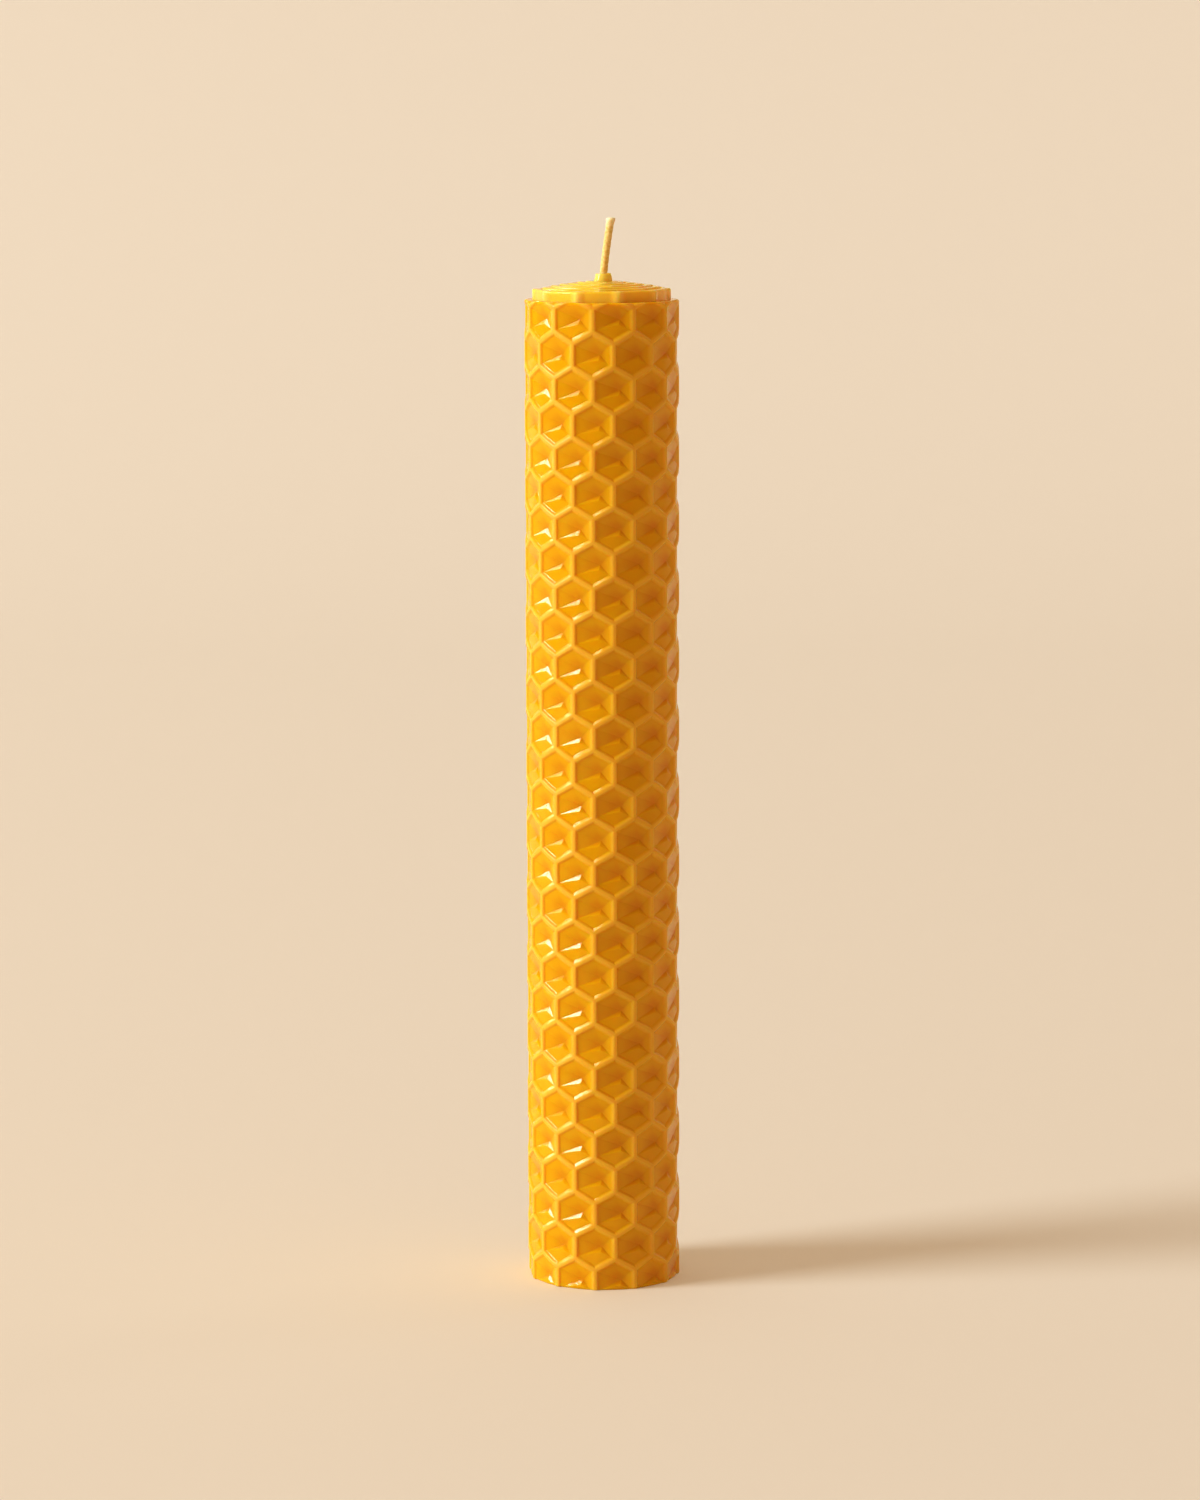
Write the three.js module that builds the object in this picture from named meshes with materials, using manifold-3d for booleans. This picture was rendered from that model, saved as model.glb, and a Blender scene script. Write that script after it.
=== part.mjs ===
// Rolled beeswax candle: two sheets of comb foundation wound round a cotton wick.
// Millimetres, +Z up, the origin under the middle of the candle on its flat base.

import * as THREE from 'three';
import { mergeVertices } from 'three/addons/utils/BufferGeometryUtils.js';
import Module from 'manifold-3d';

// Comb embossed in the wax
const CELL_WIDTH = 5.4;
const RIDGE_WIDTH = 0.7;
const WALL_RUN = 0.45;
const WALL_DEPTH = 0.46;
const PIT_DEPTH = 0.72;
const PIT_DROP = 0.6;
const FIRST_ROW_HEIGHT = 1.26;

// Wax sheets
const SHEET_THICKNESS = 0.92;
const TURN_GAP = 0.27;
const NEUTRAL_DEPTH = 0.66;
const CORE_TURNS = 8;
const OUTER_TURNS = 1.03;
const CORE_HEIGHT = 135.85;
const OUTER_HEIGHT = 134.5;
const SEAM_GAP = 0.3;
const SEAM_AZIMUTH = 93;

// Domed top of the core, and the thin first fold that stands up round the wick
const DOME_RISE = 1.15;
const FOLD_THICKNESS = 0.3;
const FOLD_RISE = 1.0;
const FOLD_TURNS = 0.8;
const FOLD_SLOPE_TURNS = 0.3;

// Comb on the band of the core that shows above the outer sheet
const CORE_FIRST_ROW_HEIGHT = -0.13;
const CORE_COMB_TURNS = 1;

// Wick
const WICK_DIAMETER = 1.0;
const WICK_TIP_DIAMETER = 1.25;
const WICK_CLEARANCE = 0.25;
const WICK_FREE_LENGTH = 8.5;
const WICK_LEAN = 1.0;
const WICK_SIDES = 12;
const WICK_STEPS = 5;

const MAX_FACET_ANGLE = THREE.MathUtils.degToRad(18);
const CUTTER_STAND = 0.2;

// Sizes that follow from these
const TURN = 2 * Math.PI;
const HALF_CELL = CELL_WIDTH / 2;
const HEX_SIDE = CELL_WIDTH / Math.sqrt(3);
const ROW_PITCH = 1.5 * HEX_SIDE;
const FOLD_RADIUS = WICK_DIAMETER / 2 + WICK_CLEARANCE;
const CORE_END = CORE_TURNS * TURN;
const CORE_RADIUS = outerRadius(CORE_END);

// Thickness of the wax at a winding angle, thin in the first fold
function thicknessAt(angle) {
  const part = THREE.MathUtils.clamp(angle / TURN - 1, 0, 1);
  return THREE.MathUtils.lerp(FOLD_THICKNESS, SHEET_THICKNESS, part);
}

// Inner face of the roll: each turn lies on the turn before it
function innerRadius(angle) {
  if (angle < TURN) {
    return FOLD_RADIUS + (FOLD_THICKNESS + TURN_GAP) * angle / TURN;
  }
  const below = angle - TURN;
  return innerRadius(below) + thicknessAt(below) + TURN_GAP;
}

function outerRadius(angle) {
  return innerRadius(angle) + thicknessAt(angle);
}

// The roll winds clockwise seen from above and ends at the seam, at the back
function polar(angle, radius, z) {
  const azimuth = THREE.MathUtils.degToRad(SEAM_AZIMUTH) + CORE_END - angle;
  return new THREE.Vector3(radius * Math.cos(azimuth), radius * Math.sin(azimuth), z);
}

// Winding angles of a sheet's folds, half a cell apart, from its outer end inward
function foldAngles(startAngle, endAngle) {
  const angles = [endAngle];
  let angle = endAngle;
  while (angle > startAngle + 1e-6) {
    const halfCell = HALF_CELL / Math.max(outerRadius(angle) - NEUTRAL_DEPTH, HALF_CELL);
    angle -= Math.min(halfCell, MAX_FACET_ANGLE);
    angles.push(Math.max(angle, startAngle));
  }
  return angles;
}

// A point under the outer face, at a count of folds along the sheet
function facePoint(folds, along, z, depth) {
  const index = Math.min(Math.floor(along), folds.length - 2);
  const ends = [folds[index], folds[index + 1]];
  const [from, to] = ends.map((angle) => polar(angle, outerRadius(angle) - depth, z));
  return from.lerp(to, along - index);
}

// Hexagon of a cell in the flat sheet: half cells along, millimetres up
function hexagon(along, height, inset) {
  const scale = 1 - 2 * inset / CELL_WIDTH;
  const points = [];
  for (let corner = 0; corner < 6; corner += 1) {
    const turn = Math.PI / 6 + corner * Math.PI / 3;
    const x = along + scale * HEX_SIDE * Math.cos(turn) / HALF_CELL;
    points.push(new THREE.Vector2(x, height + scale * HEX_SIDE * Math.sin(turn)));
  }
  return points;
}

// Centres of the whole cells of one sheet, each row half a cell on from the last
function cellCentres(firstRow, lastRow, rowHeight, maxAlong) {
  const centres = [];
  for (let row = firstRow; row <= lastRow; row += 1) {
    const shift = Math.abs(row % 2);
    for (let along = 1 + shift; along <= maxAlong - 1; along += 2) {
      centres.push({ along, height: rowHeight + row * ROW_PITCH });
    }
  }
  return centres;
}

// Collects triangles of vertices that are placed on a rolled sheet
class SheetMesh {
  constructor(folds) {
    this.folds = folds;
    this.positions = [];
    this.indices = [];
  }

  add(point, depth) {
    const place = facePoint(this.folds, point.x, point.y, depth);
    this.positions.push(place.x, place.y, place.z);
    return this.positions.length / 3 - 1;
  }

  addAll(points, depth) {
    return points.map((point) => this.add(point, depth));
  }

  ring(upper, lower) {
    for (let i = 0; i < upper.length; i += 1) {
      const next = (i + 1) % upper.length;
      this.indices.push(upper[i], upper[next], lower[i]);
      this.indices.push(upper[next], lower[next], lower[i]);
    }
  }

  fan(rim, centre) {
    rim.forEach((vertex, i) => {
      this.indices.push(vertex, rim[(i + 1) % rim.length], centre);
    });
  }

  geometry() {
    const geometry = new THREE.BufferGeometry();
    const positions = new THREE.Float32BufferAttribute(this.positions, 3);
    geometry.setAttribute('position', positions);
    geometry.setIndex(this.indices);
    return geometry;
  }
}

// One cell: steep walls under the rim, then a floor of six facets to a low deepest point
function addCell(mesh, centre, rim) {
  const foot = hexagon(centre.along, centre.height, RIDGE_WIDTH / 2 + WALL_RUN);
  const footRing = mesh.addAll(foot, WALL_DEPTH);
  const deepest = new THREE.Vector2(centre.along, centre.height - PIT_DROP);
  mesh.ring(rim, footRing);
  mesh.fan(footRing, mesh.add(deepest, PIT_DEPTH));
}

// Plain outer face, one flat strip from fold to fold
function plainFace(mesh, outline, ring) {
  for (let i = 0; i < mesh.folds.length - 1; i += 1) {
    const over = ring.length - 1 - i;
    mesh.indices.push(ring[i], ring[i + 1], ring[over]);
    mesh.indices.push(ring[i + 1], ring[over - 1], ring[over]);
  }
}

// Embossed outer face: a cell inside each rim, and the ridges between the rims
function embossedFace(centres) {
  return (mesh, outline, ring) => {
    const rims = centres.map((cell) => hexagon(cell.along, cell.height, RIDGE_WIDTH / 2));
    const rimRings = rims.map((rim) => mesh.addAll(rim, 0));
    const vertices = [ring, ...rimRings].flat();
    rimRings.forEach((rim, i) => addCell(mesh, centres[i], rim));
    THREE.ShapeUtils.triangulateShape(outline, rims).forEach((face) => {
      mesh.indices.push(...face.map((corner) => vertices[corner]));
    });
  };
}

// A rolled sheet with cut edges; bottom and top give its height at each fold
function rolledSheet(folds, bottom, top, addFace) {
  const mesh = new SheetMesh(folds);
  const lower = folds.map((angle, i) => new THREE.Vector2(i, bottom));
  const upper = folds.map((angle, i) => new THREE.Vector2(i, top(angle)));
  const outline = [...lower, ...upper.reverse()];
  const ring = mesh.addAll(outline, 0);
  const back = outline.map((point) => mesh.add(point, thicknessAt(folds[point.x])));
  addFace(mesh, outline, ring);
  mesh.ring(back, ring);
  plainFace(mesh, outline, [...back].reverse());
  return mesh.geometry();
}

// Cutters for single cells, open through the face of a plain sheet
function cellCutters(folds, centres) {
  const mesh = new SheetMesh(folds);
  centres.forEach((cell) => {
    const spread = CUTTER_STAND * WALL_RUN / WALL_DEPTH;
    const lid = hexagon(cell.along, cell.height, RIDGE_WIDTH / 2 - spread);
    const lidRing = mesh.addAll(lid, -CUTTER_STAND);
    const centre = mesh.add(new THREE.Vector2(cell.along, cell.height), -CUTTER_STAND);
    addCell(mesh, cell, lidRing);
    mesh.fan([...lidRing].reverse(), centre);
  });
  mesh.indices.reverse();
  return mesh.geometry();
}

function toSolid(wasm, geometry) {
  const bare = geometry.clone();
  bare.deleteAttribute('normal');
  bare.deleteAttribute('uv');
  const merged = mergeVertices(bare, 1e-4);
  const vertProperties = new Float32Array(merged.attributes.position.array);
  const triVerts = new Uint32Array(merged.index.array);
  return new wasm.Manifold(new wasm.Mesh({ numProp: 3, vertProperties, triVerts }));
}

function toGeometry(solid) {
  const mesh = solid.getMesh();
  const geometry = new THREE.BufferGeometry();
  const positions = new THREE.BufferAttribute(mesh.vertProperties, 3);
  geometry.setAttribute('position', positions);
  geometry.setIndex(new THREE.BufferAttribute(mesh.triVerts, 1));
  return geometry;
}

// Trims everything below one height and above another
function trimmed(wasm, geometry, bottom, top) {
  const reach = 4 * CORE_RADIUS;
  const kept = new THREE.BoxGeometry(reach, reach, top - bottom);
  kept.translate(0, 0, (bottom + top) / 2);
  return toGeometry(toSolid(wasm, geometry).intersect(toSolid(wasm, kept)));
}

// Dome of the core's cut top, highest at the wick
function domeHeight(radius) {
  return CORE_HEIGHT + DOME_RISE * (1 - (radius / CORE_RADIUS) ** 2);
}

// Cut edge of the core sheet: the first fold stands up, the rest steps down the dome
function coreTop(angle) {
  const past = (angle / TURN - FOLD_TURNS) / FOLD_SLOPE_TURNS;
  const stand = 1 - THREE.MathUtils.clamp(past, 0, 1);
  return domeHeight(outerRadius(angle)) + FOLD_RISE * stand;
}

// First sheet: whole roll round the wick, with comb where its last turn shows
function coreSheet(wasm) {
  const folds = foldAngles(0, CORE_END);
  const shown = folds.filter((angle) => angle > CORE_END - CORE_COMB_TURNS * TURN);
  const topRow = Math.round((CORE_HEIGHT - CORE_FIRST_ROW_HEIGHT) / ROW_PITCH);
  const centres = cellCentres(topRow, topRow, CORE_FIRST_ROW_HEIGHT, shown.length);
  const roll = toSolid(wasm, rolledSheet(folds, 0, coreTop, plainFace));
  return toGeometry(roll.subtract(toSolid(wasm, cellCutters(folds, centres))));
}

// Second sheet: comb all over, cut straight across the cells at the bottom and top
function outerSheet(wasm) {
  const start = CORE_END + SEAM_GAP / CORE_RADIUS;
  const folds = foldAngles(start, start + OUTER_TURNS * TURN);
  const lastRow = Math.ceil((OUTER_HEIGHT - FIRST_ROW_HEIGHT) / ROW_PITCH);
  const centres = cellCentres(0, lastRow, FIRST_ROW_HEIGHT, folds.length - 1);
  const bottom = FIRST_ROW_HEIGHT - ROW_PITCH;
  const top = FIRST_ROW_HEIGHT + (lastRow + 1) * ROW_PITCH;
  const blank = rolledSheet(folds, bottom, () => top, embossedFace(centres));
  return trimmed(wasm, blank, 0, OUTER_HEIGHT);
}

// Middle of the braided wick: straight inside the roll, leaning a little above it
function wickPoints() {
  const emerges = domeHeight(0) + FOLD_RISE;
  const tip = domeHeight(0) + WICK_FREE_LENGTH;
  const points = [0, emerges / 2, emerges - 1].map((z) => new THREE.Vector3(0, 0, z));
  for (let step = 0; step <= WICK_STEPS; step += 1) {
    const share = step / WICK_STEPS;
    const z = THREE.MathUtils.lerp(emerges, tip, share);
    points.push(new THREE.Vector3(WICK_LEAN * share ** 1.2, 0, z));
  }
  return points;
}

// Closed tube round the wick's middle, a little wider at its fluffy tip
function wick() {
  const points = wickPoints();
  const last = points.length - 1;
  const positions = [];
  const indices = [];
  points.forEach((point, i) => {
    const radius = (i === last ? WICK_TIP_DIAMETER : WICK_DIAMETER) / 2;
    for (let side = 0; side < WICK_SIDES; side += 1) {
      const turn = side * TURN / WICK_SIDES;
      positions.push(point.x + radius * Math.cos(turn));
      positions.push(point.y + radius * Math.sin(turn), point.z);
    }
  });
  for (let vertex = 0; vertex < last * WICK_SIDES; vertex += 1) {
    const start = vertex - vertex % WICK_SIDES;
    const next = start + (vertex + 1) % WICK_SIDES;
    indices.push(vertex, next, next + WICK_SIDES);
    indices.push(vertex, next + WICK_SIDES, vertex + WICK_SIDES);
  }
  const top = last * WICK_SIDES;
  for (let side = 1; side < WICK_SIDES - 1; side += 1) {
    indices.push(0, side + 1, side);
    indices.push(top, top + side, top + side + 1);
  }
  const geometry = new THREE.BufferGeometry();
  geometry.setAttribute('position', new THREE.Float32BufferAttribute(positions, 3));
  geometry.setIndex(indices);
  return geometry;
}

function named(name, geometry, color, roughness) {
  const material = new THREE.MeshStandardMaterial({ color, roughness, metalness: 0 });
  geometry.computeVertexNormals();
  const mesh = new THREE.Mesh(geometry, material);
  mesh.name = name;
  return mesh;
}

const wasm = await Module();
wasm.setup();

const candle = new THREE.Group();
candle.name = 'beeswax_candle';
candle.add(named('wick', wick(), 0xe6cf8a, 0.85));
candle.add(named('core_sheet', coreSheet(wasm), 0xe3a52a, 0.45));
candle.add(named('outer_sheet', outerSheet(wasm), 0xdf9a1c, 0.4));

// The spiral is a little lopsided, so the candle is centred over the origin
const middle = new THREE.Box3().setFromObject(candle, true).getCenter(new THREE.Vector3());
candle.children.forEach((mesh) => mesh.position.set(-middle.x, -middle.y, 0));

export default candle;
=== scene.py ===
"""Rolled beeswax candle: comb foundation wax round a braided wick, on a pale floor."""

import math

import bpy
from mathutils import Matrix, Vector, noise


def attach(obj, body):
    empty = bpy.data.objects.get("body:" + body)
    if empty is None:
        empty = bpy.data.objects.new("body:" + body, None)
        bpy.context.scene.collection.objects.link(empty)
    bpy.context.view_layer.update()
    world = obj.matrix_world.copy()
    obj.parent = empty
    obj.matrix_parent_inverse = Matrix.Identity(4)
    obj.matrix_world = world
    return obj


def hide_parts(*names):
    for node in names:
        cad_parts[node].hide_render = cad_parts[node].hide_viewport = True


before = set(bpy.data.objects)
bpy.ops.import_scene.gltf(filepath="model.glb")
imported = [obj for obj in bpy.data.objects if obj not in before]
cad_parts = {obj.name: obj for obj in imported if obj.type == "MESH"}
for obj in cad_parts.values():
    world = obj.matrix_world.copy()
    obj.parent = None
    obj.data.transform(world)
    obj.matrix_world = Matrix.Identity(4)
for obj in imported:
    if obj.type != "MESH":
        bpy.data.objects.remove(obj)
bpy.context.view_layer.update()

MM = 0.001
TURN = 2 * math.pi

# Sizes shared with the CAD model, in millimetres and degrees
CELL_WIDTH = 5.4
HEX_SIDE = CELL_WIDTH / math.sqrt(3)
ROW_PITCH = 1.5 * HEX_SIDE
HALF_CELL = CELL_WIDTH / 2
FIRST_ROW_HEIGHT = 1.26
SHEET_THICKNESS = 0.92
TURN_GAP = 0.27
NEUTRAL_DEPTH = 0.66
FOLD_RADIUS = 0.75
FOLD_THICKNESS = 0.3
FOLD_RISE = 1.0
FOLD_TURNS = 0.8
FOLD_SLOPE_TURNS = 0.3
CORE_END = 8 * TURN
CORE_HEIGHT = 135.85
DOME_RISE = 1.15
CORE_FIRST_ROW_HEIGHT = -0.13
OUTER_TURNS = 1.03
OUTER_HEIGHT = 134.5
SEAM_GAP = 0.3
SEAM_AZIMUTH = math.radians(93)
MAX_FACET_ANGLE = math.radians(18)
WICK_RADIUS = 0.5
WICK_FREE_LENGTH = 8.5
WICK_LEAN = 1.0
ROLL_CENTRE = Vector((0.274, -0.3087, 0))

# Two places or angles closer than this are one and the same
TINY = 1e-6


def deselect_all():
    if bpy.context.object and bpy.context.object.mode != "OBJECT":
        bpy.ops.object.mode_set(mode="OBJECT")
    bpy.ops.object.select_all(action="DESELECT")


def select_only(piece):
    deselect_all()
    piece.select_set(True)
    bpy.context.view_layer.objects.active = piece


def select_none(mesh):
    for part in (mesh.vertices, mesh.edges, mesh.polygons):
        for element in part:
            element.select = False


def select_edges(mesh, wanted):
    for edge in mesh.edges:
        edge.select = wanted(edge)


def clamped(value):
    return min(max(value, 0), 1)


# ---- the roll ----
def thickness_at(angle):
    part = clamped(angle / TURN - 1)
    return FOLD_THICKNESS + (SHEET_THICKNESS - FOLD_THICKNESS) * part


def inner_radius(angle):
    grown = 0
    while angle >= TURN:
        angle -= TURN
        grown += thickness_at(angle) + TURN_GAP
    return FOLD_RADIUS + (FOLD_THICKNESS + TURN_GAP) * angle / TURN + grown


def outer_radius(angle):
    return inner_radius(angle) + thickness_at(angle)


CORE_RADIUS = outer_radius(CORE_END)


def polar(angle, radius, z):
    """The place, in metres, of a winding angle, a radius and a height in millimetres."""
    azimuth = SEAM_AZIMUTH + CORE_END - angle
    place = Vector((radius * math.cos(azimuth), radius * math.sin(azimuth), z))
    return (place + ROLL_CENTRE) * MM


def fold_angles(start, end):
    """Winding angles half a cell apart, from the sheet's outer end inward."""
    angles = [end]
    angle = end
    while angle > start + TINY:
        radius = max(outer_radius(angle) - NEUTRAL_DEPTH, HALF_CELL)
        angle -= min(HALF_CELL / radius, MAX_FACET_ANGLE)
        angles.append(max(angle, start))
    return angles


def angle_along(folds, along):
    """The winding angle at a distance along the flat sheet, counted in half cells."""
    index = max(0, min(int(along), len(folds) - 2))
    return folds[index] + (folds[index + 1] - folds[index]) * (along - index)


# ---- camera ----
# Its place in millimetres, and its angles in degrees
CAMERA_PLACE = (-0.38, -676.1, 169.9)
CAMERA_TILT = 8.15
CAMERA_ROLL = -0.14


def make_camera():
    deselect_all()
    bpy.ops.object.camera_add(location=[part * MM for part in CAMERA_PLACE])
    camera = bpy.context.object
    camera.name = "photo_camera"
    tilt = Matrix.Rotation(math.radians(90 - CAMERA_TILT), 4, "X")
    roll = Matrix.Rotation(math.radians(CAMERA_ROLL), 4, "Z")
    camera.rotation_euler = (tilt @ roll).to_euler()
    camera.data.lens = 120
    camera.data.sensor_width = 36
    camera.data.clip_start = 0.01
    bpy.context.scene.camera = camera


# ---- studio ----
# The floor and the wall that it bends up into, in metres
FLOOR_SIZE = (6, 3, 1)
FLOOR_SHIFT = (0, -0.1, 0)
WALL_HEIGHT = 2.4
BEND_RADIUS = 0.7
BEND_SEGMENTS = 14
# Bright panes to the left of the camera: degrees round from it, degrees up, watts
PANES = ((47, 45, 1.3), (79.5, 38.5, 1.3), (69.5, 31.5, 0.6), (100, 24, 0.9), (127, 15, 1))
PANE_DISTANCE = 1.5
PANE_SIZE = (0.08, 0.45)
PANE_COLOUR = (1, 0.97, 0.88)
CANDLE_MIDDLE = Vector((0, 0, 0.07))


def area_light(name, place, target, size, power, colour):
    deselect_all()
    bpy.ops.object.light_add(type="AREA", location=place)
    light = bpy.context.object
    light.name = name
    light.data.shape = "RECTANGLE"
    light.data.size, light.data.size_y = size
    light.data.energy = power
    light.data.color = colour
    aim = Vector(target) - Vector(place)
    light.rotation_euler = aim.to_track_quat("-Z", "Y").to_euler()
    light.visible_camera = False
    return light


def key_light(name, direction, spread, strength, colour):
    """A distant light that shines from a direction, as wide as its spread in degrees."""
    deselect_all()
    bpy.ops.object.light_add(type="SUN", location=direction)
    light = bpy.context.object
    light.name = name
    light.data.angle = math.radians(spread)
    light.data.energy = strength
    light.data.color = colour
    light.rotation_euler = (-Vector(direction)).to_track_quat("-Z", "Y").to_euler()


def node_material(name):
    material = bpy.data.materials.new(name)
    material.use_nodes = True
    nodes = material.node_tree.nodes
    shader = nodes["Principled BSDF"]
    return material, nodes, material.node_tree.links, shader


def pale_surround(world):
    """Shows the camera a pale wall past the floor's edges, without lighting the scene with it."""
    nodes, links = world.node_tree.nodes, world.node_tree.links
    wall = nodes.new("ShaderNodeBackground")
    wall.inputs["Color"].default_value = (0.58, 0.475, 0.35, 1)
    rays = nodes.new("ShaderNodeLightPath")
    chosen = nodes.new("ShaderNodeMixShader")
    links.new(rays.outputs["Is Camera Ray"], chosen.inputs["Fac"])
    links.new(nodes["Background"].outputs["Background"], chosen.inputs[1])
    links.new(wall.outputs["Background"], chosen.inputs[2])
    links.new(chosen.outputs["Shader"], nodes["World Output"].inputs["Surface"])


def make_floor():
    deselect_all()
    bpy.ops.mesh.primitive_plane_add(size=1, location=(0, 0, 0))
    floor = bpy.context.object
    floor.name = "studio_sweep"
    bpy.ops.object.mode_set(mode="EDIT")
    bpy.ops.mesh.select_all(action="SELECT")
    bpy.ops.transform.resize(value=FLOOR_SIZE)
    bpy.ops.transform.translate(value=FLOOR_SHIFT)
    bpy.ops.object.mode_set(mode="OBJECT")
    mesh = floor.data
    back = max(vertex.co.y for vertex in mesh.vertices)

    def at_bend(edge):
        ends = [mesh.vertices[index].co for index in edge.vertices]
        return all(abs(end.y - back) < TINY and end.z < TINY for end in ends)

    bpy.ops.object.mode_set(mode="EDIT")
    bpy.ops.mesh.select_all(action="DESELECT")
    bpy.ops.object.mode_set(mode="OBJECT")
    select_edges(mesh, at_bend)
    bpy.ops.object.mode_set(mode="EDIT")
    bpy.ops.mesh.select_mode(type="EDGE")
    bpy.ops.mesh.extrude_region_move(TRANSFORM_OT_translate={"value": (0, 0, WALL_HEIGHT)})
    bpy.ops.mesh.select_mode(type="VERT")
    bpy.ops.object.mode_set(mode="OBJECT")
    select_edges(mesh, at_bend)
    bpy.ops.object.mode_set(mode="EDIT")
    bpy.ops.mesh.select_mode(type="EDGE")
    bpy.ops.mesh.bevel(offset=BEND_RADIUS, segments=BEND_SEGMENTS)
    bpy.ops.mesh.select_mode(type="VERT")
    bpy.ops.object.mode_set(mode="OBJECT")
    bpy.ops.object.shade_smooth()
    material, _, _, shader = node_material("pale_floor")
    shader.inputs["Base Color"].default_value = (0.81, 0.785, 0.73, 1)
    shader.inputs["Roughness"].default_value = 0.9
    shader.inputs["Specular IOR Level"].default_value = 0.1
    floor.data.materials.append(material)


def make_lights():
    world = bpy.context.scene.world or bpy.data.worlds.new("studio")
    bpy.context.scene.world = world
    world.use_nodes = True
    background = world.node_tree.nodes["Background"]
    background.inputs["Color"].default_value = (1.0, 0.68, 0.42, 1)
    background.inputs["Strength"].default_value = 0.38
    pale_surround(world)
    for number, (turn, rise, power) in enumerate(PANES, 1):
        turn, rise = math.radians(turn), math.radians(rise)
        across = math.cos(rise)
        direction = Vector((-math.sin(turn) * across, -math.cos(turn) * across, math.sin(rise)))
        pane = area_light("window_pane_%d" % number, direction * PANE_DISTANCE + CANDLE_MIDDLE,
                          CANDLE_MIDDLE, PANE_SIZE, power, PANE_COLOUR)
        # The floor shows the key light's shadow alone
        pane.data.use_shadow = False
    key_light("soft_window_light", direction=(-2.95, -0.88, 1.2), spread=24, strength=1.8,
              colour=(0.92, 0.98, 1))
    area_light("backdrop_light", place=(0.9, 0.6, 1.0), target=(0.25, 1.4, 0.4),
               size=(0.5, 0.5), power=0.5, colour=(1, 0.95, 0.9))


# ---- shared effects ----
def map_range(nodes, before, after=(0, 1), smooth=False):
    """A node that maps one span of values to another."""
    node = nodes.new("ShaderNodeMapRange")
    if smooth:
        node.interpolation_type = "SMOOTHSTEP"
    node.inputs["From Min"].default_value, node.inputs["From Max"].default_value = before
    node.inputs["To Min"].default_value, node.inputs["To Max"].default_value = after
    return node


def wax_tone_group():
    """Wax colour from how far down a point lies in its cell, with soft cloudy patches; the
    crests' paler colour is partly painted light, and the darker colour low in each cell is
    painted shade.
    """
    group = bpy.data.node_groups.new("wax_tone", "ShaderNodeTree")
    face = group.interface
    for name in ("Crest Colour With Painted Light", "Floor Colour", "Painted Shade Colour"):
        face.new_socket(name=name, in_out="INPUT", socket_type="NodeSocketColor")
    for name in ("Depth", "Cloud Scale"):
        face.new_socket(name=name, in_out="INPUT", socket_type="NodeSocketFloat")
    face.new_socket(name="Colour", in_out="OUTPUT", socket_type="NodeSocketColor")
    face.new_socket(name="Roughness", in_out="OUTPUT", socket_type="NodeSocketFloat")
    nodes, links = group.nodes, group.links
    given = nodes.new("NodeGroupInput")
    result = nodes.new("NodeGroupOutput")
    place = nodes.new("ShaderNodeTexCoord")
    cloud = nodes.new("ShaderNodeTexNoise")
    cloud.inputs["Detail"].default_value = 3
    links.new(place.outputs["Object"], cloud.inputs["Vector"])
    links.new(given.outputs["Cloud Scale"], cloud.inputs["Scale"])
    spread = map_range(nodes, before=(0.3, 0.7), after=(-0.12, 0.12))
    links.new(cloud.outputs["Fac"], spread.inputs["Value"])
    shifted = nodes.new("ShaderNodeMath")
    shifted.operation = "ADD"
    shifted.use_clamp = True
    # Crests take the crest colour: the wax's own colour with painted light that the thin crests
    # catch
    below = map_range(nodes, before=(0.02, 0.5), smooth=True)
    links.new(given.outputs["Depth"], below.inputs["Value"])
    links.new(below.outputs["Result"], shifted.inputs[0])
    links.new(spread.outputs["Result"], shifted.inputs[1])
    tone = nodes.new("ShaderNodeMix")
    tone.data_type = "RGBA"
    links.new(shifted.outputs["Value"], tone.inputs["Factor"])
    links.new(given.outputs["Crest Colour With Painted Light"], tone.inputs["A"])
    links.new(given.outputs["Floor Colour"], tone.inputs["B"])
    # Painted shade: the lowest hollow of each cell is darkened towards the shade colour
    shade_mask = map_range(nodes, before=(0.5, 0.95), smooth=True)
    links.new(given.outputs["Depth"], shade_mask.inputs["Value"])
    painted_shade = nodes.new("ShaderNodeMix")
    painted_shade.data_type = "RGBA"
    links.new(shade_mask.outputs["Result"], painted_shade.inputs["Factor"])
    links.new(tone.outputs["Result"], painted_shade.inputs["A"])
    links.new(given.outputs["Painted Shade Colour"], painted_shade.inputs["B"])
    links.new(painted_shade.outputs["Result"], result.inputs["Colour"])
    gloss = map_range(nodes, before=(0.0, 0.08), after=(0.45, 0.12))
    links.new(given.outputs["Depth"], gloss.inputs["Value"])
    links.new(gloss.outputs["Result"], result.inputs["Roughness"])
    return group


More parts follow.
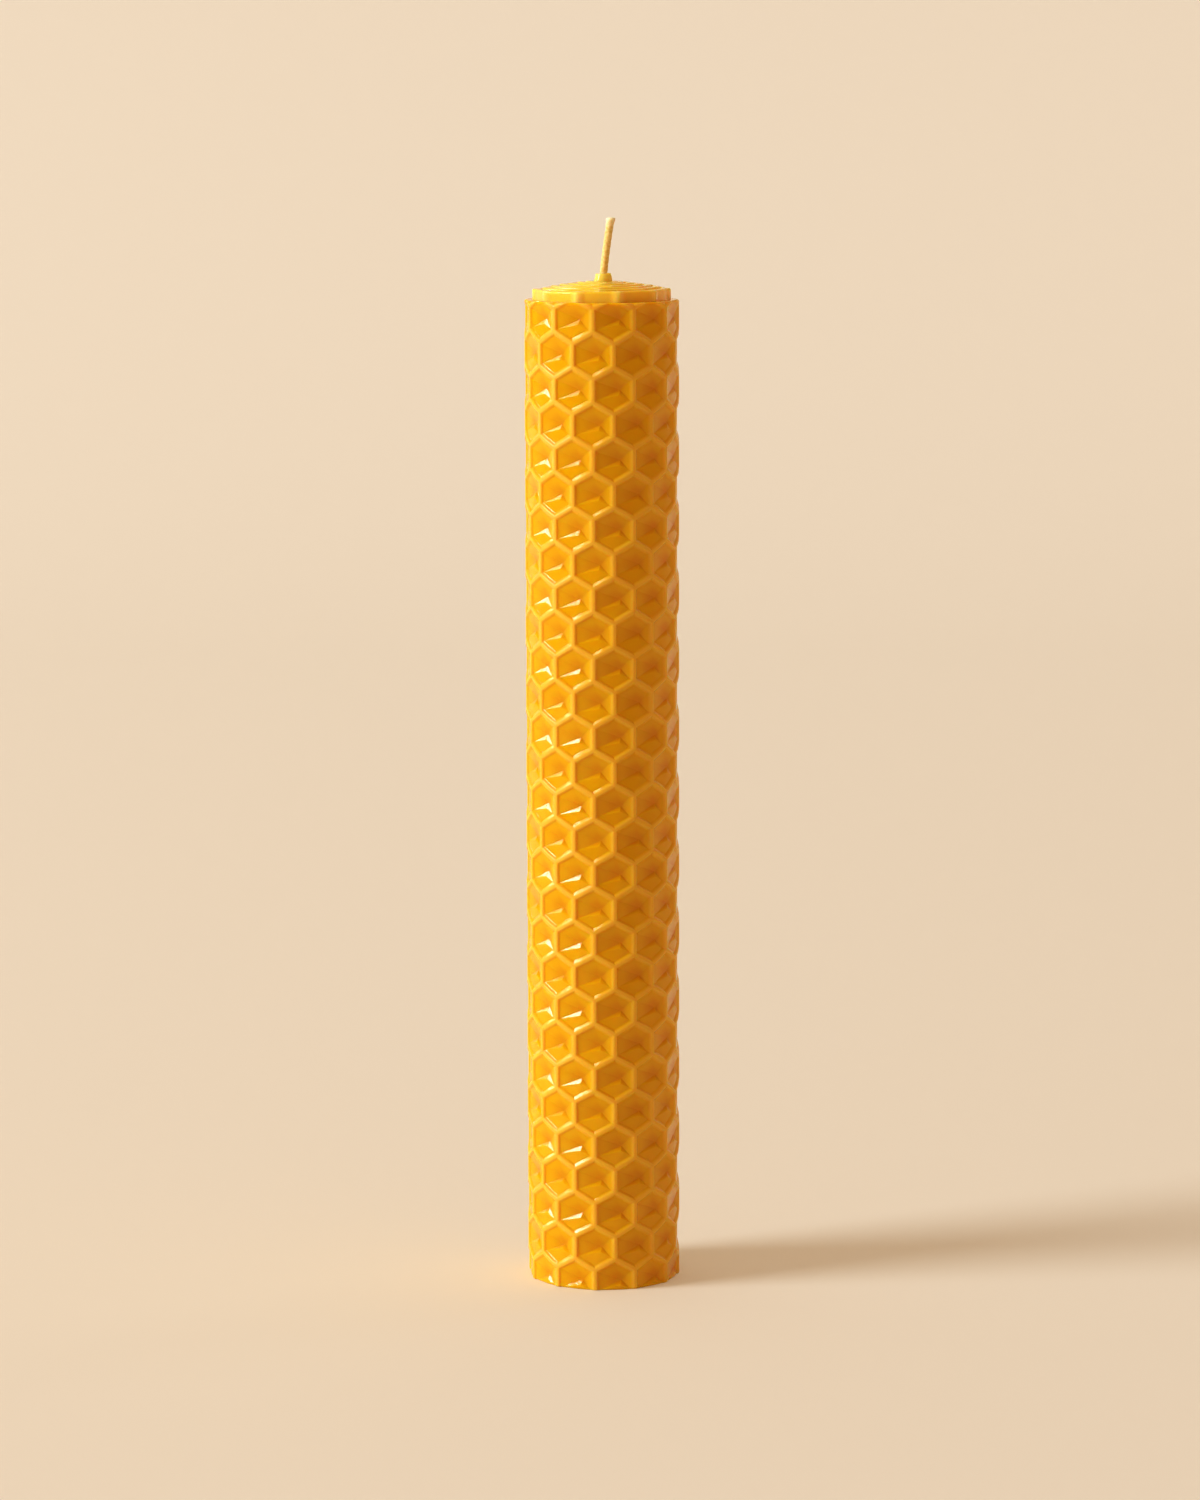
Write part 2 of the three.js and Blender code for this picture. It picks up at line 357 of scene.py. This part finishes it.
def wax_grain_group():
    """Fine unevenness of milled wax: faint ripples and small dents."""
    group = bpy.data.node_groups.new("wax_grain", "ShaderNodeTree")
    face = group.interface
    face.new_socket(name="Ripple Scale", in_out="INPUT", socket_type="NodeSocketFloat")
    face.new_socket(name="Grain Scale", in_out="INPUT", socket_type="NodeSocketFloat")
    face.new_socket(name="Height", in_out="OUTPUT", socket_type="NodeSocketFloat")
    nodes, links = group.nodes, group.links
    given = nodes.new("NodeGroupInput")
    result = nodes.new("NodeGroupOutput")
    place = nodes.new("ShaderNodeTexCoord")
    ripple = nodes.new("ShaderNodeTexNoise")
    grain = nodes.new("ShaderNodeTexNoise")
    for texture, scale in ((ripple, "Ripple Scale"), (grain, "Grain Scale")):
        texture.inputs["Detail"].default_value = 2
        links.new(place.outputs["Object"], texture.inputs["Vector"])
        links.new(given.outputs[scale], texture.inputs["Scale"])
    mixed = nodes.new("ShaderNodeMix")
    mixed.data_type = "FLOAT"
    mixed.inputs["Factor"].default_value = 0.25
    links.new(ripple.outputs["Fac"], mixed.inputs["A"])
    links.new(grain.outputs["Fac"], mixed.inputs["B"])
    links.new(mixed.outputs["Result"], result.inputs["Height"])
    return group


def wax_material(name, crest, floor, painted_shade, tone_group, grain_group):
    material, nodes, links, shader = node_material(name)
    depth = nodes.new("ShaderNodeAttribute")
    depth.attribute_name = "cell_depth"
    tone = nodes.new("ShaderNodeGroup")
    tone.node_tree = tone_group
    # The crest colour holds painted light, and the shade colour painted shade low in each cell
    tone.inputs["Crest Colour With Painted Light"].default_value = crest
    tone.inputs["Floor Colour"].default_value = floor
    tone.inputs["Painted Shade Colour"].default_value = painted_shade
    tone.inputs["Cloud Scale"].default_value = 160
    links.new(depth.outputs["Fac"], tone.inputs["Depth"])
    links.new(tone.outputs["Colour"], shader.inputs["Base Color"])
    links.new(tone.outputs["Roughness"], shader.inputs["Roughness"])
    grain = nodes.new("ShaderNodeGroup")
    grain.node_tree = grain_group
    grain.inputs["Ripple Scale"].default_value = 420
    grain.inputs["Grain Scale"].default_value = 2600
    bump = nodes.new("ShaderNodeBump")
    bump.inputs["Strength"].default_value = 0.25
    bump.inputs["Distance"].default_value = 0.0002
    links.new(grain.outputs["Height"], bump.inputs["Height"])
    links.new(bump.outputs["Normal"], shader.inputs["Normal"])
    shader.inputs["Subsurface Weight"].default_value = 0.85
    shader.inputs["Subsurface Radius"].default_value = (1.0, 0.5, 0.1)
    shader.inputs["Subsurface Scale"].default_value = 0.0016
    shader.inputs["Specular IOR Level"].default_value = 0.5
    shader.inputs["IOR"].default_value = 1.44
    return material


# ---- outer sheet ----
# Insets of one cell from its edge to the foot of its walls: how far in, how much deeper
CELL_RINGS = ((0.13, 0.007), (0.06, 0.012), (0.05, 0.018), (0.28, 0.21), (0.08, 0.034))
# What lies deeper than this is the foot of the walls and the floor, which shift sideways
CELL_WALL_DEPTH = 0.15
CELL_WALL_SHIFT = -0.1
# Deepest point of a cell's floor and the foot of the small step below it
CELL_LOW_POINT = (0.9, 0.6, 0.1)
CELL_STEP_POINT = (0.72, 0.33, -0.6)
# How near, in degrees, an edge of the floor lies to the direction that it is picked by
SPOKE_TOLERANCE = 10
# Depth of the sheet's plain back below the crests
BACK_DEPTH = 1.06
# How far the crests stay inside the CAD sheet
SHEET_CLEARANCE = 0.1
ROW_PAIRS = 16
# Columns of cells beyond the sheet's length, and how far in its outer end is cut straight
SPARE_COLUMNS = 2
END_TRIM = 0.1
# Radius of the soft edge that the cut leaves at the rim and at the foot, and the shares of
# it at which a loop of edges carries its curve
RIM_RADIUS = 0.3
RIM_LOOPS = (0.1, 0.35, 1)
# Faces that meet within this many degrees are shaded round: the crests, but not the walls
OUTER_SMOOTHING = 9
# In metres: how near points are merged where copies meet and over the whole sheet, and how
# near a cut takes a point to lie on its plane
COPY_MERGE = 0.00001
MERGE = 0.00002
CUT_THRESHOLD = 0.000001


def comb_cell():
    """One comb cell of the flat sheet, front and back faces, pointing at -Y."""
    deselect_all()
    bpy.ops.mesh.primitive_circle_add(vertices=6, radius=HEX_SIDE * MM, fill_type="NGON",
                                      location=(0, BACK_DEPTH * MM, 0),
                                      rotation=(-math.pi / 2, 0, 0))
    back = bpy.context.object
    bpy.ops.object.transform_apply(location=True, rotation=True, scale=True)
    deselect_all()
    bpy.ops.mesh.primitive_circle_add(vertices=6, radius=HEX_SIDE * MM, fill_type="NGON",
                                      rotation=(math.pi / 2, 0, 0))
    cell = bpy.context.object
    cell.name = "outer_comb"
    bpy.ops.object.transform_apply(location=True, rotation=True, scale=True)
    for half in (back, cell):
        split_edges(half)
    select_only(cell)
    bpy.ops.object.mode_set(mode="EDIT")
    bpy.ops.mesh.select_mode(type="FACE")
    bpy.ops.mesh.select_all(action="SELECT")
    for inward, deeper in CELL_RINGS:
        bpy.ops.mesh.inset(thickness=inward * MM, depth=-deeper * MM)
    bpy.ops.mesh.poke()
    bpy.ops.object.mode_set(mode="OBJECT")
    shape_floor(cell)
    select_only(cell)
    back.select_set(True)
    bpy.ops.object.join()
    return cell


def split_edges(half):
    """Halves the hexagon's six sides, so that the rolled sheet bends smoothly."""
    select_only(half)
    bpy.ops.object.mode_set(mode="EDIT")
    bpy.ops.mesh.select_mode(type="EDGE")
    bpy.ops.mesh.select_all(action="SELECT")
    bpy.ops.mesh.subdivide(number_cuts=1)
    bpy.ops.object.mode_set(mode="OBJECT")


def shape_floor(cell):
    """Moves the floor's middle to its deepest point and folds a small step below it."""
    mesh = cell.data
    low_point = Vector(CELL_LOW_POINT) * MM
    centre = min(mesh.vertices, key=lambda vertex: Vector((vertex.co.x, 0, vertex.co.z)).length)
    for vertex in mesh.vertices:
        if vertex.co.y > CELL_WALL_DEPTH * MM:
            vertex.co.x += CELL_WALL_SHIFT * MM
    centre.co = low_point
    middle = centre.index

    def spoke_at(edge, *turns):
        """Whether an edge runs out from the middle in one of these directions, in degrees."""
        if middle not in edge.vertices:
            return False
        far = mesh.vertices[sum(edge.vertices) - middle].co
        turn = math.degrees(math.atan2(far.z, far.x)) % 360
        return any(abs(turn - wanted) < SPOKE_TOLERANCE for wanted in turns)

    select_none(mesh)
    select_edges(mesh, lambda edge: spoke_at(edge, *range(0, 361, 60)))
    bpy.ops.object.mode_set(mode="EDIT")
    bpy.ops.mesh.select_mode(type="EDGE")
    bpy.ops.mesh.dissolve_edges(use_verts=False)
    bpy.ops.object.mode_set(mode="OBJECT")
    middle = min(mesh.vertices, key=lambda vertex: (vertex.co - low_point).length).index
    step = len(mesh.vertices)
    select_none(mesh)
    select_edges(mesh, lambda edge: spoke_at(edge, 270))
    bpy.ops.object.mode_set(mode="EDIT")
    bpy.ops.mesh.select_mode(type="EDGE")
    bpy.ops.mesh.subdivide(number_cuts=1)
    bpy.ops.object.mode_set(mode="OBJECT")
    mesh.vertices[step].co = Vector(CELL_STEP_POINT) * MM
    corners = {sum(edge.vertices) - middle for edge in mesh.edges if spoke_at(edge, 210, 330)}
    for corner in corners:
        select_none(mesh)
        mesh.vertices[corner].select = True
        mesh.vertices[step].select = True
        bpy.ops.object.mode_set(mode="EDIT")
        bpy.ops.mesh.select_mode(type="VERT")
        bpy.ops.mesh.vert_connect()
        bpy.ops.object.mode_set(mode="OBJECT")


def repeated(piece, offset, count):
    """Repeats a piece along an offset in millimetres and merges where copies meet."""
    bpy.context.view_layer.objects.active = piece
    array = piece.modifiers.new("repeat", "ARRAY")
    array.use_relative_offset = False
    array.use_constant_offset = True
    array.constant_offset_displace = [part * MM for part in offset]
    array.count = count
    array.use_merge_vertices = True
    array.merge_threshold = COPY_MERGE
    bpy.ops.object.modifier_apply(modifier=array.name)


def merged_doubles(piece):
    select_only(piece)
    bpy.ops.object.mode_set(mode="EDIT")
    bpy.ops.mesh.select_mode(type="VERT")
    bpy.ops.mesh.select_all(action="SELECT")
    bpy.ops.mesh.remove_doubles(threshold=MERGE)
    bpy.ops.object.mode_set(mode="OBJECT")


def close_rim(piece):
    """Bridges the front's outline to the back's outline."""
    bpy.ops.object.mode_set(mode="EDIT")
    bpy.ops.mesh.select_mode(type="EDGE")
    bpy.ops.mesh.select_all(action="DESELECT")
    bpy.ops.mesh.select_non_manifold(extend=False)
    bpy.ops.mesh.bridge_edge_loops()
    bpy.ops.object.mode_set(mode="OBJECT")


def cut(piece, place, normal):
    """Cuts off what lies past a plane and caps the cut."""
    bpy.context.view_layer.objects.active = piece
    bpy.ops.object.mode_set(mode="EDIT")
    bpy.ops.mesh.select_all(action="SELECT")
    bpy.ops.mesh.bisect(plane_co=place, plane_no=normal, use_fill=True, clear_outer=True,
                        threshold=CUT_THRESHOLD)
    bpy.ops.object.mode_set(mode="OBJECT")


def ring(piece, height):
    """Adds a level loop of edges all round a piece."""
    bpy.context.view_layer.objects.active = piece
    bpy.ops.object.mode_set(mode="EDIT")
    bpy.ops.mesh.select_all(action="SELECT")
    bpy.ops.mesh.bisect(plane_co=(0, 0, height), plane_no=(0, 0, 1),
                        threshold=CUT_THRESHOLD)
    bpy.ops.object.mode_set(mode="OBJECT")


def rounding(below, radius):
    """How far a rounded edge has drawn back at a distance below its top."""
    if below >= radius:
        return 0
    return radius - math.sqrt(max(radius ** 2 - (radius - below) ** 2, 0))


def keep_cell_depth(piece):
    """Stores each point's depth for the wax colour, with its painted crest light and hollow
    shade, from 0 on a crest to 1 at the lowest.
    """
    depths = piece.data.attributes.new("cell_depth", "FLOAT", "POINT")
    for vertex in piece.data.vertices:
        depths.data[vertex.index].value = clamped(vertex.co.y / (CELL_LOW_POINT[1] * MM))


def make_outer_sheet():
    start = CORE_END + SEAM_GAP / CORE_RADIUS
    folds = fold_angles(start, start + OUTER_TURNS * TURN)
    length = (len(folds) - 1) * HALF_CELL
    columns = math.ceil(length / CELL_WIDTH) + SPARE_COLUMNS
    sheet = comb_cell()
    repeated(sheet, (CELL_WIDTH, 0, 0), columns)
    select_only(sheet)
    bpy.ops.object.duplicate()
    other = bpy.context.object
    bpy.ops.transform.translate(value=(HALF_CELL * MM, 0, ROW_PITCH * MM))
    bpy.ops.object.transform_apply(location=True, rotation=True, scale=True)
    sheet.select_set(True)
    other.select_set(True)
    bpy.context.view_layer.objects.active = sheet
    bpy.ops.object.join()
    repeated(sheet, (0, 0, 2 * ROW_PITCH), ROW_PAIRS)
    select_only(sheet)
    # Row 0 has its walls on the even folds, so its centres lie on the odd ones
    lowest_row = FIRST_ROW_HEIGHT - 2 * ROW_PITCH
    bpy.ops.transform.translate(value=(-HALF_CELL * MM, 0, lowest_row * MM))
    bpy.ops.object.transform_apply(location=True, rotation=True, scale=True)
    merged_doubles(sheet)
    close_rim(sheet)
    cut(sheet, (0, 0, 0), (0, 0, -1))
    cut(sheet, (0, 0, OUTER_HEIGHT * MM), (0, 0, 1))
    for share in RIM_LOOPS:
        ring(sheet, (OUTER_HEIGHT - share * RIM_RADIUS) * MM)
        ring(sheet, share * RIM_RADIUS * MM)
    cut(sheet, (END_TRIM * MM, 0, 0), (-1, 0, 0))
    cut(sheet, (length * MM, 0, 0), (1, 0, 0))
    keep_cell_depth(sheet)
    for vertex in sheet.data.vertices:
        angle = angle_along(folds, vertex.co.x / MM / HALF_CELL)
        to_cut = min(OUTER_HEIGHT - vertex.co.z / MM, vertex.co.z / MM)
        drawn_back = rounding(to_cut, RIM_RADIUS) * (1 - vertex.co.y / MM / BACK_DEPTH)
        radius = outer_radius(angle) - SHEET_CLEARANCE - vertex.co.y / MM - drawn_back
        vertex.co = polar(angle, radius, vertex.co.z / MM)
    sheet.data.update()
    select_only(sheet)
    bpy.ops.object.shade_smooth_by_angle(angle=math.radians(OUTER_SMOOTHING))
    return sheet


# ---- core sheet ----
# The core's comb, from a cell's edge inward: where its wall starts and how wide and deep it
# is, then where its floor starts to fall, how wide the fall is and how deep
CORE_WALL_START, CORE_WALL_WIDTH, CORE_WALL_DEPTH = 0.1, 0.9, 0.62
CORE_FALL_START, CORE_FALL_WIDTH, CORE_FALL_DEPTH = 0.75, 1.9, 0.2
# The cut and the handling have left the core's comb fainter than the outer sheet's
CORE_COMB_SHARE = 0.65
# The comb on the sheet's back, as a share, half a cell along and this share of a row up
BACK_COMB_SHARE = 0.35
BACK_COMB_RISE = 0.66
# Columns of the rolled sheet: close together where its comb shows, wider inside
CORE_FINE_COLUMNS = 135
CORE_COLUMNS = CORE_FINE_COLUMNS + 330
CORE_FINE_ANGLE = 3
CORE_WIDE_ANGLE = 7.5
# Least radius at which the innermost turn's length is reckoned
CORE_LEAST_RADIUS = 0.4
# Heights of the rows above the foot, and drops of the rows below the top
CORE_FOOT_ROWS = (0, 0.4, 0.8, 1.2, 1.8, 2.6, 4, 8, 20, 40, 60, 80, 100, 120, 126)
CORE_TOP_DROPS = (6, 4, 3, 2.5, 2.1, 1.8, 1.5, 1.25, 1, 0.8, 0.6, 0.42, 0.3, 0.2, 0.12, 0.06,
                  0.02, 0)
CORE_EDGE_RADIUS = 0.3
# The cut's unevenness: its height, and where it is read from the noise
CUT_WAVE = 0.06
CUT_WAVE_SCALE = 0.25
CUT_WAVE_LINE = 3.1
# The cut has smeared the turns together near the top: from this far below it, over this much
SMEAR_START = 1.6
SMEAR_LENGTH = 1.2
# Share of the gap between turns that is filled below, and how much more where smeared
GAP_FILL = 0.72
SMEARED_FILL = 0.25
# The first fold's collar is pinched in towards the wick
PINCH_TURNS = 1.3
PINCH_SHARE = 0.55
PINCH_GAP = 0.3
WICK_ROOM = 0.02
CORE_SMOOTHING = 40


def comb_depth(along, height):
    """Depth of the comb under its crests at a point of the flat sheet, in millimetres."""
    row = round((height - CORE_FIRST_ROW_HEIGHT) / ROW_PITCH)
    best = None
    for near in (row - 1, row, row + 1):
        shift = HALF_CELL * (near % 2) + HALF_CELL
        column = round((along - shift) / CELL_WIDTH)
        x = along - shift - column * CELL_WIDTH
        z = height - CORE_FIRST_ROW_HEIGHT - near * ROW_PITCH
        reach = max(abs(x), abs(x) / 2 + abs(z) * math.sqrt(3) / 2)
        if best is None or reach < best:
            best = reach
    inside = max(HALF_CELL - best, 0)
    wall = clamped((inside - CORE_WALL_START) / CORE_WALL_WIDTH)
    wall = wall * wall * (3 - 2 * wall)
    fall = clamped((inside - CORE_FALL_START) / CORE_FALL_WIDTH)
    return CORE_WALL_DEPTH * wall + CORE_FALL_DEPTH * fall


def dome_height(radius):
    return CORE_HEIGHT + DOME_RISE * (1 - (radius / CORE_RADIUS) ** 2)


def core_top(angle):
    past = clamped((angle / TURN - FOLD_TURNS) / FOLD_SLOPE_TURNS)
    return dome_height(outer_radius(angle)) + FOLD_RISE * (1 - past)


def core_angle(column):
    fine = min(column, CORE_FINE_COLUMNS)
    return CORE_END - math.radians(CORE_FINE_ANGLE * fine + CORE_WIDE_ANGLE * (column - fine))


def core_arcs():
    """Lengths along the flat sheet, from its outer end to each column."""
    arcs = [0.0]
    for column in range(CORE_COLUMNS):
        angle, after = core_angle(column), core_angle(column + 1)
        radius = outer_radius((angle + after) / 2) - NEUTRAL_DEPTH
        arcs.append(arcs[-1] + max(radius, CORE_LEAST_RADIUS) * (angle - after))
    return arcs


def core_row_height(row, top):
    if row < len(CORE_FOOT_ROWS):
        return CORE_FOOT_ROWS[row]
    return top - CORE_TOP_DROPS[row - len(CORE_FOOT_ROWS)]


def core_point(angle, along, row):
    """Front and back of the sheet, and its comb's depth, at one point of the roll."""
    top = core_top(angle) + CUT_WAVE * noise.noise(
        Vector((along * CUT_WAVE_SCALE, CUT_WAVE_LINE, 0)))
    z = core_row_height(row, top)
    thick = thickness_at(angle) / SHEET_THICKNESS
    emboss = CORE_COMB_SHARE * comb_depth(along, z) * thick
    smeared = clamped((z - top + SMEAR_START) / SMEAR_LENGTH)
    behind = comb_depth(along + HALF_CELL, z + ROW_PITCH * BACK_COMB_RISE)
    back = (thickness_at(angle) + TURN_GAP * (GAP_FILL + SMEARED_FILL * smeared)
            - BACK_COMB_SHARE * (1 - smeared) * behind * thick)
    pinch = 0.0
    if angle < PINCH_TURNS * TURN:
        pinch = clamped((z - dome_height(0)) / FOLD_RISE) * PINCH_SHARE
    drawn_back = emboss + rounding(top - z, CORE_EDGE_RADIUS * thick)

    def pinched(radius):
        return radius + (WICK_RADIUS + PINCH_GAP - radius) * pinch

    outer = outer_radius(angle)
    front = pinched(outer - drawn_back)
    inner = max(pinched(outer - back), WICK_RADIUS + WICK_ROOM)
    return polar(angle, front, z), polar(angle, inner, z), min(emboss, 1)


def make_core_sheet():
    rows = len(CORE_FOOT_ROWS) + len(CORE_TOP_DROPS)
    deselect_all()
    bpy.ops.mesh.primitive_grid_add(x_subdivisions=CORE_COLUMNS, y_subdivisions=rows - 1, size=2)
    sheet = bpy.context.object
    sheet.name = "core_roll"
    arcs = core_arcs()
    fronts, backs, depths = [], [], []
    for vertex in sheet.data.vertices:
        column = round((vertex.co.x + 1) / 2 * CORE_COLUMNS)
        row = round((vertex.co.y + 1) / 2 * (rows - 1))
        front, back, depth = core_point(core_angle(column), arcs[column], row)
        fronts.append(front)
        backs.append(back)
        depths.append(depth)
    count = len(fronts)
    bpy.ops.object.mode_set(mode="EDIT")
    bpy.ops.mesh.select_mode(type="VERT")
    bpy.ops.mesh.select_all(action="SELECT")
    bpy.ops.object.mode_set(mode="OBJECT")
    # Any thickness will do here, because both faces are then put in their places
    wall = sheet.modifiers.new("wall", "SOLIDIFY")
    wall.thickness = 1 * MM
    wall.offset = -1
    bpy.ops.object.modifier_apply(modifier=wall.name)
    mesh = sheet.data
    held = mesh.attributes.new("cell_depth", "FLOAT", "POINT")
    for vertex in mesh.vertices:
        source = vertex.index % count
        vertex.co = fronts[source] if vertex.index < count else backs[source]
        held.data[vertex.index].value = depths[source]
    mesh.update()
    select_only(sheet)
    bpy.ops.object.mode_set(mode="EDIT")
    bpy.ops.mesh.select_all(action="SELECT")
    bpy.ops.mesh.normals_make_consistent(inside=False)
    bpy.ops.object.mode_set(mode="OBJECT")
    bpy.ops.object.shade_smooth_by_angle(angle=math.radians(CORE_SMOOTHING))
    return sheet


# ---- wick ----
WICK_SIDES = 24
# Two heights closer than this, in millimetres, are the same section
NEAR = 0.01
# A face whose normal rises more than this looks up
UPWARD = 0.9
# Heights of its hidden sections, and the step between the sections that show
WICK_HIDDEN = (0.0, 30.0, 60.0, 90.0, 120.0)
WICK_STEP = 0.11
# The braid starts this far inside the roll, and the tip ends this far under the CAD wick's
BRAID_START = 1
TIP_ROOM = 0.05
WICK_BEND_POWER = 1.2
# The braid's strands: half the number of bumps round the wick each way, the height of one
# full wave, and the bumps' least radius, swell and roundness, as shares of the wick's radius
BRAID_BUMPS = 1.5
BRAID_PITCH = 2.1
BRAID_LEAST, BRAID_SWELL, BRAID_POWER = 0.95, 0.1, 0.7
# The tip flares, frays and ends rounded
FLARE_LENGTH, FLARE_SHARE = 1.6, 0.35
FRAY_LENGTH = 1.3
TIP_RADIUS, TIP_ROUNDING = 0.3, 0.8
WICK_SMOOTHING = 60


def wick_middle(z):
    emerges = dome_height(0) + FOLD_RISE
    tip = dome_height(0) + WICK_FREE_LENGTH
    share = clamped((z - emerges) / (tip - emerges))
    return Vector((WICK_LEAN * share ** WICK_BEND_POWER, 0, z))


def braid_radius(turn, z, low, tip):
    wave = TURN * (z - low) / BRAID_PITCH
    left = abs(math.sin(BRAID_BUMPS * turn + wave))
    right = abs(math.sin(BRAID_BUMPS * turn - wave))
    radius = WICK_RADIUS * (BRAID_LEAST + BRAID_SWELL * max(left, right) ** BRAID_POWER)
    flare = clamped((z - tip + FLARE_LENGTH) / FLARE_LENGTH)
    radius *= 1 + FLARE_SHARE * flare ** 2
    return radius - rounding(tip - z, TIP_RADIUS) * TIP_ROUNDING


def make_wick():
    tip = dome_height(0) + WICK_FREE_LENGTH - TIP_ROOM
    low = dome_height(0) - BRAID_START
    count = int((tip - low) / WICK_STEP)
    heights = list(WICK_HIDDEN)
    heights += [low + (tip - low) * step / count for step in range(count + 1)]
    deselect_all()
    bpy.ops.mesh.primitive_cylinder_add(vertices=WICK_SIDES, radius=WICK_RADIUS * MM,
                                        depth=heights[1] * MM, end_fill_type="NGON",
                                        location=(0, 0, heights[1] * MM / 2))
    wick = bpy.context.object
    wick.name = "braided_wick"
    bpy.ops.object.transform_apply(location=True, rotation=True, scale=True)
    for previous, height in zip(heights[1:], heights[2:]):
        bpy.ops.object.mode_set(mode="OBJECT")
        select_none(wick.data)
        for polygon in wick.data.polygons:
            at_top = polygon.center.z > (previous - NEAR) * MM
            polygon.select = at_top and polygon.normal.z > UPWARD
        bpy.ops.object.mode_set(mode="EDIT")
        bpy.ops.mesh.select_mode(type="FACE")
        bpy.ops.mesh.extrude_region_move(
            TRANSFORM_OT_translate={"value": (0, 0, (height - previous) * MM)})
    bpy.ops.object.mode_set(mode="OBJECT")
    frayed = wick.data.attributes.new("frayed", "FLOAT", "POINT")
    for vertex in wick.data.vertices:
        z = vertex.co.z / MM
        turn = math.atan2(vertex.co.y, vertex.co.x)
        radius = braid_radius(turn, z, low, tip) if z > low - NEAR else WICK_RADIUS
        middle = wick_middle(z)
        place = Vector((middle.x + radius * math.cos(turn), radius * math.sin(turn), z))
        vertex.co = (place + ROLL_CENTRE) * MM
        frayed.data[vertex.index].value = clamped((z - tip + FRAY_LENGTH) / FRAY_LENGTH)
    wick.data.update()
    bpy.ops.object.shade_smooth_by_angle(angle=math.radians(WICK_SMOOTHING))
    return wick


def wick_material():
    material, nodes, links, shader = node_material("waxed_cotton")
    place = nodes.new("ShaderNodeTexCoord")
    fibre = nodes.new("ShaderNodeTexNoise")
    fibre.inputs["Scale"].default_value = 3000
    fibre.inputs["Detail"].default_value = 3
    links.new(place.outputs["Object"], fibre.inputs["Vector"])
    ramp = nodes.new("ShaderNodeValToRGB")
    ramp.color_ramp.elements[0].position = 0.3
    ramp.color_ramp.elements[0].color = (0.74, 0.52, 0.15, 1)
    ramp.color_ramp.elements[1].position = 0.7
    ramp.color_ramp.elements[1].color = (0.9, 0.75, 0.37, 1)
    links.new(fibre.outputs["Fac"], ramp.inputs["Fac"])
    frayed = nodes.new("ShaderNodeAttribute")
    frayed.attribute_name = "frayed"
    tone = nodes.new("ShaderNodeMix")
    tone.data_type = "RGBA"
    links.new(frayed.outputs["Fac"], tone.inputs["Factor"])
    links.new(ramp.outputs["Color"], tone.inputs["A"])
    tone.inputs["B"].default_value = (0.95, 0.88, 0.62, 1)
    links.new(tone.outputs["Result"], shader.inputs["Base Color"])
    bump = nodes.new("ShaderNodeBump")
    bump.inputs["Strength"].default_value = 0.4
    bump.inputs["Distance"].default_value = 0.0001
    links.new(fibre.outputs["Fac"], bump.inputs["Height"])
    links.new(bump.outputs["Normal"], shader.inputs["Normal"])
    shader.inputs["Roughness"].default_value = 0.6
    shader.inputs["Subsurface Weight"].default_value = 0.3
    shader.inputs["Subsurface Radius"].default_value = (1.0, 0.6, 0.25)
    shader.inputs["Subsurface Scale"].default_value = 0.0006
    return material


def dress(piece, node, material):
    """Gives a piece its wax or cotton and lets it stand for its CAD node."""
    piece.data.materials.clear()
    piece.data.materials.append(material)
    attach(piece, "root")
    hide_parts(node)


make_camera()
make_floor()
make_lights()
bpy.context.scene.view_settings.view_transform = "Standard"
bpy.context.scene.view_settings.look = "High Contrast"
tone_group = wax_tone_group()
grain_group = wax_grain_group()
# Each wax's crest colour holds painted light on the crests, and its shade colour painted shade
# low in each cell
outer_wax = wax_material("outer_wax", crest=(0.8, 0.485, 0.055, 1),
                         floor=(0.77, 0.435, 0.001, 1), painted_shade=(0.7, 0.33, 0.001, 1),
                         tone_group=tone_group, grain_group=grain_group)
core_wax = wax_material("core_wax", crest=(0.98, 0.67, 0.17, 1),
                        floor=(0.96, 0.61, 0.08, 1), painted_shade=(0.94, 0.57, 0.05, 1),
                        tone_group=tone_group, grain_group=grain_group)
dress(make_outer_sheet(), "outer_sheet", outer_wax)
dress(make_core_sheet(), "core_sheet", core_wax)
dress(make_wick(), "wick", wick_material())
